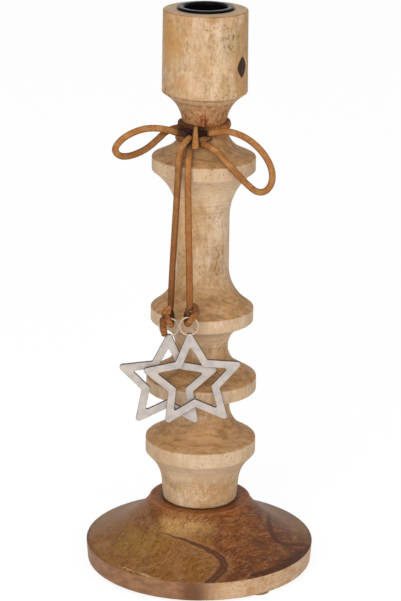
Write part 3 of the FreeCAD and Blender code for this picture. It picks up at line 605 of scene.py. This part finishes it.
def make_cords(suede):
    """The four free stretches of the lace.

    Each has its name, its CAD node, its route, its length, what its far end is tied to, how it lies, and its
    facings and shades.
    """
    # The shades are painted shade, darkest where a stretch goes into the knot.
    stretches = (
        ("bow_left_strip", "lace_bow_left", LEFT_BOW, LEFT_BOW_LENGTH, "object", "loose",
         ((0, Vector((0.2, -1, 0.4))), (0.4, Vector((0.1, -1, 0.5))), (0.62, Vector((0, -1, -0.1))),
          (1, Vector((-0.3, -1, 0.2)))),
         ((0, 1.0), (0.05, 0.9), (0.12, 0.2), (0.2, 0.0), (0.5, 0.0), (0.6, 0.2), (0.9, 0.2), (1, 0.7))),
        ("bow_right_strip", "lace_bow_right", RIGHT_BOW, RIGHT_BOW_LENGTH, "object", "loose",
         ((0, Vector((0, -1, 0.3))), (0.35, Vector((0.3, -1, 0.2))), (0.6, Vector((0.2, -1, 0.0))),
          (1, FRONT_RAISED)),
         ((0, 1.0), (0.018, 1.0), (0.035, 0.1), (0.06, 0.0), (0.95, 0.0), (1, 0.4))),
        ("tail_left_strip", "lace_tail_left", LEFT_TAIL, LEFT_TAIL_LENGTH, "knot", "hanging",
         ((0, Vector((-0.3, -1, 0.4))), (0.2, Vector((-0.4, -1, 0))), (1, Vector((-0.6, -1, 0)))),
         ((0, 0.4), (0.05, 0.08), (0.3, 0.24), (0.8, 0.24), (1, 0.6))),
        ("tail_right_strip", "lace_tail_right", RIGHT_TAIL, RIGHT_TAIL_LENGTH, "knot", "hanging",
         ((0, Vector((0.1, -1, 0.5))), (0.2, Vector((0.1, -1, 0))), (1, Vector((0.1, -1, 0)))),
         ((0, 0.9), (0.08, 0.3), (0.14, 0.0), (0.9, 0.05), (1, 0.3))),
    )
    for name, node, route, length, far_end, lay, facings, shades in stretches:
        line = route_line(route)
        bm = bmesh.new()
        lace_strip(bm, line, facings, shades)
        piece = lace_piece(name, bm, "root", suede, node)


def tied_line(*points):
    """The smooth line that some points control. They are given in millimetres."""
    return route_line([Vector(point) * MM for point in points])


def make_knot(suede):
    """The heart of the bow: the strands under it, and the turn that holds them. Their shades are painted
    shade, and the strand behind the turn is painted dark all along, as the shade of the hollows beside it.
    """
    bm = bmesh.new()
    turn = tied_line(
        (-4.3, -13.4, 240.2), (-4.3, -15.0, 242.6), (-4.3, -18.2, 242.8), (-4.4, -20.3, 240.0),
        (-4.4, -20.7, 236.4), (-4.3, -20.4, 231.4),
    )
    lace_strip(
        bm, turn, ((0, Vector((0, 0.2, 1))), (0.3, Vector((0, -0.6, 1))), (0.5, FRONT), (1, FRONT)),
        ((0, 0.9), (0.25, 0.6), (0.4, 0.05), (1, 0.0)),
        ((0, 0.6), (0.3, 0.6), (0.6, 0.85), (0.85, 1.05), (1, 1.05)),
    )
    lip = tied_line(
        (-14.2, -15.4, 238.2), (-12.3, -16.6, 236.7), (-10.0, -16.9, 235.7), (-7.4, -16.4, 236.2),
        (-4.8, -15.2, 237.0),
    )
    lace_strip(bm, lip, ((0, FRONT_RAISED), (1, FRONT_RAISED)), ((0, 0.5), (0.5, 0.6), (1, 0.9)))
    # Painted dark all along: painted shade of the hollows on either side of the turn.
    heart = tied_line(
        (-12.8, -13.4, 240.4), (-10.6, -14.9, 239.8), (-7.0, -15.2, 239.0), (-3.0, -15.2, 238.0),
        (0.4, -15.6, 237.3), (2.6, -14.4, 237.2),
    )
    lace_strip(
        bm, heart, ((0, FRONT), (1, FRONT)), ((0, 1.0), (1, 1.0)),
        ((0, 0.9), (0.25, 1.5), (0.6, 1.1), (1, 0.9)),
    )
    under = tied_line(
        (-8.0, -15.2, 234.4), (-5.0, -16.6, 234.8), (-1.6, -17.2, 236.0), (1.4, -17.0, 236.8),
        (3.8, -15.2, 237.4),
    )
    lace_strip(
        bm, under, ((0, FRONT_RAISED), (1, FRONT_RAISED)), ((0, 0.95), (0.4, 0.6), (0.6, 0.5), (1, 0.8)),
    )
    lace_piece("knot_leather", bm, "root", suede, "lace_knot")


def make_collar(suede):
    """The turn of the lace round the neck, under the knot. It starts and ends at the front."""
    low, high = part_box("lace_collar")
    centre_height = (low.z + high.z) / 2
    radius = (high.x - low.x - LACE_THICKNESS) / 2
    line = []
    facings = []
    for step in range(COLLAR_STEPS + 1):
        angle = 2 * math.pi * step / COLLAR_STEPS - math.pi / 2
        wave = COLLAR_WAVE * math.sin(angle * 2 + COLLAR_WAVE_START)
        line.append(Vector((radius * math.cos(angle), radius * math.sin(angle), centre_height + wave)))
        facings.append((step / COLLAR_STEPS, Vector((math.cos(angle), math.sin(angle), COLLAR_LEAN))))
    bm = bmesh.new()
    # The shades are painted shade: dark at the front under the knot, lightest on the right, darker round the
    # back and the left.
    lace_strip(bm, line, facings, (
        (0, 0.8), (0.06, 0.15), (0.24, 0.1), (0.3, 0.5), (0.7, 0.6), (0.78, 0.75), (0.9, 0.75), (1, 0.95),
    ))
    lace_piece("collar_strip", bm, "root", suede, "lace_collar")


def make_right_hitch(suede):
    """Where the right tail is knotted through its ring: the knot's turn, with painted shade, and a dark strip
    that is its painted shadow.
    """
    bm = bmesh.new()
    turn = tied_line(
        (-6.2, -32.4, 150.6), (-4.8, -32.8, 153.4), (-3.4, -33.8, 153.0), (-3.0, -35.0, 150.8),
        (-4.2, -35.9, 148.6), (-5.6, -35.9, 146.6), (-7.0, -34.6, 144.2), (-8.0, -32.6, 143.2),
        (-8.4, -31.2, 144.4), (-8.2, -31.0, 147.6), (-7.2, -31.4, 150.4),
    )
    lace_strip(
        bm, turn,
        ((0, FRONT), (0.25, Vector((0.5, -1, 0.3))), (0.45, FRONT), (0.65, Vector((-0.2, -1, -0.4))),
         (0.8, Vector((-0.7, 0, -0.7))), (1, BEHIND)),
        ((0, 0.9), (0.12, 0.45), (0.3, 0.5), (0.38, 0.05), (0.5, 0.1), (0.65, 0.5), (0.8, 0.7), (1, 0.8)),
        ((0, 0.9), (0.3, 1.05), (0.45, 0.95), (0.7, 0.95), (1, 0.8)),
    )
    # A dark strip that stands for the turn's shadow.
    shadow = tied_line(
        (-8.0, -32.2, 152.0), (-7.8, -33.0, 149.6), (-6.4, -33.8, 148.6), (-4.6, -33.6, 149.4),
    )
    lace_strip(
        bm, shadow, ((0, FRONT), (1, FRONT)), ((0, 0.3), (0.3, 0.6), (1, 0.9)), ((0, 0.5), (1, 0.6)),
    )
    lace_piece("hitch_right_leather", bm, "root", suede, "lace_hitch_right")


def make_left_hitch(suede):
    """Where the left tail is knotted through its ring, and the lace's short end in front of the ring."""
    bm = bmesh.new()
    # The strips' shades are painted shade.
    turn = tied_line(
        (-15.4, -31.0, 150.0), (-16.2, -31.4, 151.8), (-17.8, -32.2, 150.0), (-19.2, -32.8, 148.2),
        (-19.6, -32.2, 147.0),
    )
    lace_strip(
        bm, turn, ((0, FRONT), (0.5, Vector((0.3, -1, 0.3))), (1, FRONT)),
        ((0, 1.0), (0.12, 0.7), (0.3, 0.05), (0.7, 0.1), (0.9, 0.7), (1, 0.8)),
        ((0, 0.9), (0.5, 1.3), (1, 1.0)),
    )
    leg = tied_line(
        (-18.2, -31.4, 149.2), (-17.8, -32.8, 147.4), (-17.2, -33.2, 145.2), (-16.2, -32.2, 142.8),
        (-15.4, -30.2, 141.8), (-15.2, -28.4, 143.0), (-15.8, -28.2, 146.6), (-16.2, -29.2, 150.0),
    )
    lace_strip(
        bm, leg,
        ((0, FRONT), (0.45, Vector((-0.2, -1, 0))), (0.62, Vector((0.7, -0.4, -0.7))), (0.8, BEHIND),
         (1, BEHIND)),
        ((0, 0.7), (0.2, 0.3), (0.4, 0.1), (0.55, 0.4), (0.7, 0.8), (1, 0.9)),
    )
    lace_piece("hitch_left_leather", bm, "root", suede, "lace_hitch_left")

    bm = bmesh.new()
    # Its shades are painted shade.
    end = tied_line(
        (-20.0, -32.4, 147.0), (-19.9, -33.2, 144.6), (-19.6, -33.4, 140.6), (-18.8, -33.0, 136.6),
    )
    lace_strip(bm, end, ((0, FRONT), (1, FRONT)), ((0, 0.7), (0.25, 0.35), (1, 0.1)))
    lace_piece("end_left_leather", bm, "ring_left", suede, "lace_end_left")


def make_pads(felt):
    """The felt pads under the base, with soft rims."""
    low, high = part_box("foot_pads")
    thickness = high.z - low.z
    bm = bmesh.new()
    for angle in map(math.radians, PAD_ANGLES):
        centre = (PAD_CIRCLE * math.cos(angle), PAD_CIRCLE * math.sin(angle), low.z + thickness / 2)
        bmesh.ops.create_cone(
            bm, cap_ends=True, segments=PAD_SIDES, radius1=PAD_RADIUS, radius2=PAD_RADIUS, depth=thickness,
            matrix=Matrix.Translation(centre),
        )
    rims = [edge for edge in bm.edges if abs(edge.verts[0].co.z - edge.verts[1].co.z) < LEVEL_EDGE_RISE]
    bmesh.ops.bevel(
        bm, geom=rims, offset=PAD_BEVEL, affect="EDGES", segments=PAD_BEVEL_STEPS,
        profile=ROUND_PROFILE, material=-1,
    )
    take_place(mesh_object("felt_pads", bm, felt.material), "root", "foot_pads")


def column_rings(wood):
    """Growth rings round a pith that stands beside the column."""
    from_pith = wood.length((wood.wandered((0.03, 0.03, 0.008), reach=6.0, seed=3.1) - PITH) * PITH_STRETCH)
    rings = (from_pith * (2 * math.pi / RING_SPACING)).sine()
    wood.lay(wood.smooth(rings, 0.3, 1.0) * 0.22, (168, 122, 78))


def column_sides(wood, height, up):
    """The looks that go with a height or a facing: streaks, lines, undersides and rims. Returns the lines."""
    place = wood.place
    streaks = wood.noise(place * (1.0, 1.0, 0.05), detail=3.0, roughness=0.7, seed=17.0)
    left = wood.smooth(wood.axis(place, "X"), *HEAD_LEFT, from_value=0.25, to_value=0.75)
    drawn = wood.smooth(height, *HEAD_STREAKS) * left
    wood.lay(wood.smooth(streaks, 0.52, 0.66) * drawn, (166, 118, 70))
    lines = wood.noise(place * (0.05, 0.05, 1.3), detail=3.0, roughness=0.6, seed=8.0)
    lined = 0.15 + 0.6 * wood.smooth(up, *LINED_SIDES)
    wood.lay(wood.smooth(lines, 0.5, 0.66) * lined, (172, 132, 92))
    wood.lay(wood.smooth(up, *UNDERSIDE) * 0.45, (238, 208, 172))
    rims = wood.smooth(wood.from_middle(), *DISC_RIM) * (1 - wood.smooth(up, *NOT_RIM))
    wood.lay(rims * 0.4, (222, 196, 168))
    return lines


def column_ends(wood, height, up, fleck):
    """End grain on the slopes above the discs, the foot's wear and the flat tops."""
    place = wood.place
    slope = wood.smooth(up, *SLOPE) * (1 - wood.smooth(up, *TOP))
    swept = wood.wandered(0.06, reach=4.0, seed=13.0) * (0.06, 0.28, 0.6)
    rough = wood.noise(swept, detail=4.0, roughness=0.65, seed=41.0)
    mottling = wood.mix(wood.smooth(rough, 0.36, 0.6), (150, 104, 60), (188, 142, 92))
    wood.lay(slope * 0.75, mottling)
    soot = wood.noise(place * (0.07, 0.16, 0.12), detail=4.0, roughness=0.7, seed=91.0)
    wood.lay(slope * wood.smooth(soot, 0.52, 0.62) * 0.5, (122, 84, 48))
    toe = wood.smooth(height, *TOE) * wood.smooth(fleck, 0.42, 0.6)
    wood.lay(toe * 0.6, (150, 108, 62))
    wood.lay(wood.smooth(up, *TOP) * 0.6, (192, 168, 140))


def column_specks(wood):
    """Small dark specks in loose groups, and the marks with their spots. Returns the specks."""
    place = wood.place
    cells = wood.cells(wood.wandered(0.4, reach=1.6, seed=6.0) * (0.5, 0.5, 0.34))
    scattered = wood.smooth(wood.noise(place * 0.08, detail=2.0, roughness=0.5, seed=22.0), 0.48, 0.66)
    specks = wood.smooth(cells, 0.12, 0.34, from_value=1.0, to_value=0.0) * scattered
    wood.lay(specks * 0.6, (118, 88, 48))
    spots = wood.noise(place * (0.55, 0.55, 0.4), detail=2.0, roughness=0.5, seed=51.0)
    wood.marks(COLUMN_MARKS, wood.smooth(spots, 0.52, 0.66))
    return specks


def column_neck(wood, height, broad, mottle):
    """The reddened neck below the head, with its split and its turned lines. Returns the split."""
    place = wood.place
    neck = wood.smooth(height, *NECK_START) * (1 - wood.smooth(height, *NECK_END))
    red = wood.noise(place * (0.42, 0.42, 0.16), detail=4.0, roughness=0.7, seed=31.0)
    golden = wood.mix(wood.smooth(mottle, 0.42, 0.6), (206, 160, 102), (166, 112, 60))
    wood.lay(neck * 0.65, golden)
    ruddy = neck * wood.smooth(height, *NECK_RED)
    wood.lay(ruddy * (0.3 + 0.7 * wood.smooth(red, 0.45, 0.6)), (142, 74, 32))
    crack = wood.stroke(wood.wandered(0.5, reach=0.7, seed=2.0), CRACK, CRACK_WIDTHS, edge=0.5)
    wood.lay(crack * 0.85, (104, 46, 20))
    level = height + LINE_TILT * wood.axis(place, "X") + LINE_WAVE * (broad - 0.5)
    for turn_height, reach in TURNED_LINES:
        turned = wood.smooth(abs(level - turn_height), 0.0, reach, from_value=1.0, to_value=0.0)
        wood.lay(turned * wood.smooth(red, 0.4, 0.6) * 0.8, (146, 92, 46))
    return crack


def column_knot(wood):
    """The dark knot in the head, a diamond with round sides. Returns the knot."""
    corners = abs(wood.place - KNOT_CENTRE) / KNOT_RADII
    across, deep, high = (wood.axis(corners, letter) ** KNOT_ROUNDNESS for letter in "XYZ")
    knot = wood.smooth(across + deep + high, *KNOT_EDGE, from_value=1.0, to_value=0.0)
    heart = wood.noise(wood.place * 0.8, detail=2.0, roughness=0.5, seed=61.0)
    wood.lay(knot * 0.97, wood.mix(heart, (30, 8, 6), (62, 24, 20)))
    return knot


def column_wood():
    """Pale mango wood, waxed, darker where its end grain shows."""
    wood = Finish("pale_mango", Roughness=0.6, Specular_IOR_Level=0.15)
    up = wood.axis(wood.normal, "Z")
    height = wood.axis(wood.place, "Z")
    broad = wood.noise(wood.place * (0.07, 0.07, 0.035), detail=3.0, roughness=0.55, seed=1.7)
    wood.colour = wood.mix(wood.smooth(broad, 0.4, 0.6), (202, 162, 118), (216, 186, 150))
    wood.patches(wood.place, COLUMN_PATCHES)
    wood.marks(COLUMN_SIDES)
    column_rings(wood)
    grain = wood.patches(wood.place, COLUMN_GRAIN)
    lines = column_sides(wood, height, up)
    column_ends(wood, height, up, grain["fleck"])
    specks = column_specks(wood)
    crack = column_neck(wood, height, broad, grain["mottle"])
    knot = column_knot(wood)
    wood.feed("Base Color", wood.colour)
    wood.bump(0.05 * grain["fibre"] + 0.05 * lines - 0.12 * specks - 0.2 * crack - 0.15 * knot)
    return wood


def base_ground(wood, side):
    """The base's broad colours: olive to the left, russet to the right, with a few marks."""
    broad = wood.smooth(wood.noise(wood.place * 0.06, detail=4.0, roughness=0.6, seed=3.0), 0.42, 0.6)
    olive = wood.mix(broad, (142, 94, 38), (148, 100, 54))
    russet = wood.mix(broad, (105, 54, 22), (139, 83, 43))
    edge = side + RUSSET_SWERVE * (wood.noise(wood.place * 0.07, detail=3.0, roughness=0.6, seed=18.0) - 0.5)
    wood.colour = wood.mix(wood.smooth(edge, *RUSSET_START), olive, russet)
    wood.marks(BASE_MARKS)


def base_grain(wood, side, depth, height):
    """Streaks along the board that the base was cut from. Returns them and the fine ones."""
    along = GRAIN_COSINE * side + GRAIN_SINE * depth
    across = GRAIN_COSINE * depth - GRAIN_SINE * side
    grain = wood.node("ShaderNodeCombineXYZ", {}, {0: along, 1: across, 2: height})
    grain = grain + wood.wander(0.05, reach=5.0, seed=7.0)
    streaks = wood.noise(grain * (0.11, 0.8, 0.6), detail=4.0, roughness=0.7, seed=5.0)
    deep = wood.smooth(side, *DEEP_STREAKS, from_value=0.3, to_value=0.85)
    wood.lay(wood.smooth(streaks, 0.47, 0.62) * deep, (80, 42, 20))
    fine = wood.patches(grain, BASE_GRAIN)["fine"]
    wood.patches(wood.place, BASE_PATCHES)
    return streaks, fine


def base_bands(wood, side, fine):
    """The growth rings that cross the base, the first with a pale halo, and a stain on the rim."""
    flat = wood.wandered(*BASE_WANDER) * (1.0, 1.0, 0.0)
    halo = wood.stroke(flat, FIRST_BAND, [width * HALO_SHARE for width in FIRST_WIDTHS], edge=0.6)
    wood.lay(halo * 0.3, (182, 130, 92))
    band = wood.stroke(flat, FIRST_BAND, FIRST_WIDTHS, edge=0.5)
    core = wood.stroke(flat, FIRST_BAND, [width * CORE_SHARE for width in FIRST_WIDTHS], edge=0.6)
    inside = wood.mix(wood.smooth(fine, 0.4, 0.6), (112, 72, 50), (92, 54, 38))
    clear = wood.smooth(side, *CLEAR_BANDS, from_value=0.3, to_value=1.0)
    wood.lay(band * 0.9 * clear, (66, 34, 18))
    wood.lay(core * 0.85 * clear, inside)
    wood.lay(wood.stroke(flat, SECOND_BAND, SECOND_WIDTHS, edge=0.5) * 0.8, (72, 38, 26))
    wood.lay(wood.stroke(flat, RIM_STAIN, STAIN_WIDTHS, edge=0.8) * 0.8, (60, 30, 20))
    wood.marks(BASE_SMUDGE)


def base_wall(wood, side, wall):
    """The rim's paler side, palest to the right."""
    patch = wood.noise(wood.place * (0.14, 0.14, 0.3), detail=4.0, roughness=0.65, seed=71.0)
    left = wood.mix(wood.smooth(patch, 0.38, 0.64), (168, 124, 92), (144, 102, 74))
    right = wood.mix(wood.smooth(patch, 0.4, 0.66), (218, 184, 148), (196, 152, 108))
    edge = side + PALE_WALL_SWERVE * (patch - 0.5)
    colour = wood.mix(wood.smooth(edge, *PALE_WALL_START), left, right)
    grit = wood.noise(wood.place * (0.8, 0.8, 1.1), detail=3.0, roughness=0.7, seed=81.0)
    colour = wood.mix(wood.smooth(grit, 0.48, 0.66) * 0.5, colour, (140, 98, 66))
    dusk = wood.spot(wood.wandered(*BASE_WANDER), DUSK_CENTRE, DUSK_RADII, edge=0.7)
    colour = wood.mix(dusk * 0.75, colour, (94, 58, 40))
    wood.lay(wall * 0.95, colour)


def base_wood():
    """Dark mango wood: bands of growth cross it, and its rim's side is paler."""
    wood = Finish("dark_mango", Roughness=0.5, Specular_IOR_Level=0.12)
    side, depth, height = (wood.axis(wood.place, letter) for letter in "XYZ")
    up = wood.axis(wood.normal, "Z")
    radius = wood.from_middle()
    base_ground(wood, side)
    streaks, fine = base_grain(wood, side, depth, height)
    plinth = wood.mix(wood.smooth(streaks, 0.4, 0.6), (152, 90, 42), (98, 50, 18))
    wood.lay(wood.smooth(height, *PLINTH) * 0.65, plinth)
    ledge = wood.smooth(abs(radius - LEDGE_RADIUS), 0.0, LEDGE_REACH, from_value=0.45, to_value=0.0)
    wood.lay(ledge, (172, 112, 72))
    back = wood.smooth(depth, *BACK) * wood.smooth(height, *BACK_LOW)
    wood.lay(back * 0.45, (142, 114, 86))
    base_bands(wood, side, fine)
    wall = wood.smooth(up, *WALL_FACING) * wood.smooth(height, *WALL_TOP)
    base_wall(wood, side, wall)
    chip = wood.stroke(wood.wandered(0.35, reach=1.3, seed=12.0), CHIP, CHIP_WIDTHS, edge=0.6)
    wood.lay(chip * 0.6, (204, 164, 122))
    # Painted shade: a dark line along the back-left brim, where its edge turns away.
    brim_shade = wood.smooth(radius, *BRIM_SHADE) * (1 - wall) * wood.smooth(depth, *BRIM_BACK)
    wood.lay(brim_shade * 0.5, (80, 54, 40))
    # Painted shadow round the column's foot.
    wood.lay(wood.smooth(radius, *FOOT_SHADOW, from_value=1.0, to_value=0.0) * 0.65, (58, 30, 14))
    wood.feed("Base Color", wood.colour)
    wood.bump(0.06 * fine + 0.06 * streaks + 0.25 * chip)
    return wood


def lace_suede():
    """Tan leather with a soft nap. Painted shade darkens it towards its cut edges and where each strip's
    shades say, and painted highlights and painted shade mottle its tied ends.
    """
    suede = Finish("tan_suede", Roughness=0.8, Specular_IOR_Level=0.2)
    place = suede.place
    height = suede.axis(place, "Z")
    edge = suede.node("ShaderNodeAttribute", {"attribute_name": "edge"}, output="Fac")
    shaded = suede.node("ShaderNodeAttribute", {"attribute_name": "shade"}, output="Fac")
    nap = suede.noise(place * 1.4, detail=3.0, roughness=0.6, seed=1.0)
    suede.colour = suede.mix(suede.smooth(nap, 0.35, 0.65), (150, 94, 46), (180, 123, 68))
    blotch = suede.noise(place * 0.25, detail=3.0, roughness=0.55, seed=4.0)
    suede.lay(suede.smooth(blotch, 0.46, 0.62) * 0.5, (190, 142, 90))
    suede.lay(suede.smooth(height, *LACE_LOW) * 0.45, (148, 84, 40))
    tied = suede.smooth(height, *LACE_TIED)
    mottling = suede.noise(place * 0.6, detail=4.0, roughness=0.7, seed=11.0)
    # Painted highlights and painted shade on the tied ends, for the light on their twists.
    suede.lay(tied * suede.smooth(mottling, 0.52, 0.6) * 0.6, (206, 142, 82))
    suede.lay(tied * suede.smooth(mottling, 0.46, 0.38) * 0.7, (102, 50, 18))
    # Painted shade towards the lace's edges, for the rounding of the strip.
    suede.lay(suede.smooth(abs(edge), *EDGE_SHADE) * 0.5, (124, 62, 26))
    # Painted shade, as much as each strip's shades give.
    suede.lay(shaded, (44, 19, 9))
    suede.feed("Base Color", suede.colour)
    suede.bump(0.12 * nap)
    return suede


def star_metal():
    """Cast metal, brushed pale on its faces, with painted shade on its cut sides."""
    metal = Finish("pale_cast_metal", Metallic=0.2, Specular_IOR_Level=0.4)
    place = metal.place
    flat = metal.smooth(abs(metal.axis(metal.normal, "Y")), *STAR_FACE)
    cloud = metal.noise(place * 0.25, detail=3.0, roughness=0.5, seed=2.0)
    face = metal.mix(metal.smooth(cloud, 0.35, 0.65), (178, 170, 164), (200, 187, 177))
    # The sides' dark colour is painted shade.
    metal.feed("Base Color", metal.mix(flat, (84, 74, 68), face))
    metal.feed("Roughness", metal.smooth(cloud, 0.3, 0.7, from_value=0.5, to_value=0.62))
    metal.bump(0.03 * metal.noise(place * 2.5, detail=2.0, roughness=0.5, seed=5.0))
    return metal


def hard_finish(name, dark, light, scale, smoothest, roughest, **constants):
    """A hard finish whose colour and roughness drift a little."""
    metal = Finish(name, **constants)
    cloud = metal.noise(metal.place * scale, detail=2.0, roughness=0.5, seed=1.0)
    metal.feed("Base Color", metal.mix(cloud, dark, light))
    metal.feed("Roughness", metal.smooth(cloud, 0.3, 0.7, from_value=smoothest, to_value=roughest))
    return metal


def pad_felt():
    """Brown felt with a fuzz."""
    felt = Finish("brown_felt", Roughness=1.0, Sheen_Weight=0.3)
    fuzz = felt.noise(felt.place * 2.2, detail=4.0, roughness=0.7, seed=1.0)
    felt.feed("Base Color", felt.mix(felt.smooth(fuzz, 0.3, 0.7), (128, 96, 70), (176, 146, 116)))
    felt.bump(0.25 * fuzz)
    return felt


def light_switch(nodes):
    """1 for what the camera, a reflection or a clear piece sees, and 0 for light on the object."""
    seen = nodes.node("ShaderNodeLightPath", output="Is Camera Ray")
    for name in ("Is Glossy Ray", "Is Transmission Ray"):
        seen = seen.greater(nodes.node("ShaderNodeLightPath", output=name))
    return seen


def plain_nodes(owner, kept):
    """The tree of a world or a material, with only its output kept."""
    owner.use_nodes = True
    tree = owner.node_tree
    for node in list(tree.nodes):
        if node.name != kept:
            tree.nodes.remove(node)
    return Nodes(tree)


def make_surround():
    """White to look at. Its light on the object is softer, and weaker from the sides."""
    scene = bpy.context.scene
    scene.view_settings.view_transform = "Standard"
    scene.world = bpy.data.worlds.new("surround")
    sky = plain_nodes(scene.world, "World Output")
    side = sky.axis(sky.node("ShaderNodeTexCoord", output="Generated"), "X")
    level = SKY_LEVEL - SKY_SIDES * (side * side)
    dim = sky.node("ShaderNodeBackground", {}, {"Color": WHITE, "Strength": level})
    white = sky.node("ShaderNodeBackground", {}, {"Color": WHITE, "Strength": 1.0})
    chosen = sky.node("ShaderNodeMixShader", {}, {0: light_switch(sky), 1: dim, 2: white})
    sky.link(chosen, "World Output", "Surface")


def make_floor():
    """A plain pale floor that glows a little where it is seen."""
    paper = bpy.data.materials.new("white_paper")
    nodes = plain_nodes(paper, "Material Output")
    plain = nodes.node("ShaderNodeBsdfPrincipled", {}, {
        "Base Color": FLOOR_COLOUR, "Roughness": FLOOR_ROUGHNESS, "Specular IOR Level": 0.0,
    })
    glow = nodes.node("ShaderNodeEmission", {}, {"Strength": FLOOR_BRIGHTNESS})
    share = light_switch(nodes) * FLOOR_GLOW
    chosen = nodes.node("ShaderNodeMixShader", {}, {0: share, 1: plain, 2: glow})
    nodes.link(chosen, "Material Output", "Surface")
    bm = bmesh.new()
    bmesh.ops.create_grid(bm, x_segments=1, y_segments=1, size=FLOOR_REACH)
    floor = mesh_object("floor", bm, paper)


def make_lamps():
    """Soft lamps that face the part from the front."""
    for name, place, power in LAMPS:
        data = bpy.data.lights.new(name, "AREA")
        data.size = LAMP_SIZE
        data.energy = power
        lamp = bpy.data.objects.new(name, data)
        lamp.location = place
        lamp.rotation_euler = (LAMP_AIM - Vector(place)).to_track_quat("-Z", "Y").to_euler()
        bpy.context.scene.collection.objects.link(lamp)


def dress_nodes(finishes):
    """Gives CAD nodes their finishes."""
    for name, finish in finishes.items():
        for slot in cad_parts[name].material_slots:
            slot.material = finish.material


make_camera()
suede = lace_suede()
make_cords(suede)
make_knot(suede)
make_collar(suede)
make_right_hitch(suede)
make_left_hitch(suede)
make_pads(pad_felt())
steel = hard_finish(
    "zinc_screw", (150, 150, 148), (182, 180, 172), scale=1.5, smoothest=0.35, roughest=0.5, Metallic=1.0,
)
wire = hard_finish(
    "nickel_wire", (186, 158, 136), (206, 184, 164), scale=0.8, smoothest=0.3, roughest=0.42, Metallic=0.7,
)
black = hard_finish(
    "black_enamel", (6, 6, 9), (14, 14, 19), scale=0.5, smoothest=0.14, roughest=0.22, IOR=1.12,
)
metal = star_metal()
dress_nodes({
    "base_plate": base_wood(),
    "column": column_wood(),
    "candle_cup": black,
    "cup_screw": steel,
    "column_screw": steel,
    "column_washer": steel,
    "ring_left": wire,
    "ring_right": wire,
    "star_left": metal,
    "star_right": metal,
})
make_surround()
make_floor()
make_lamps()
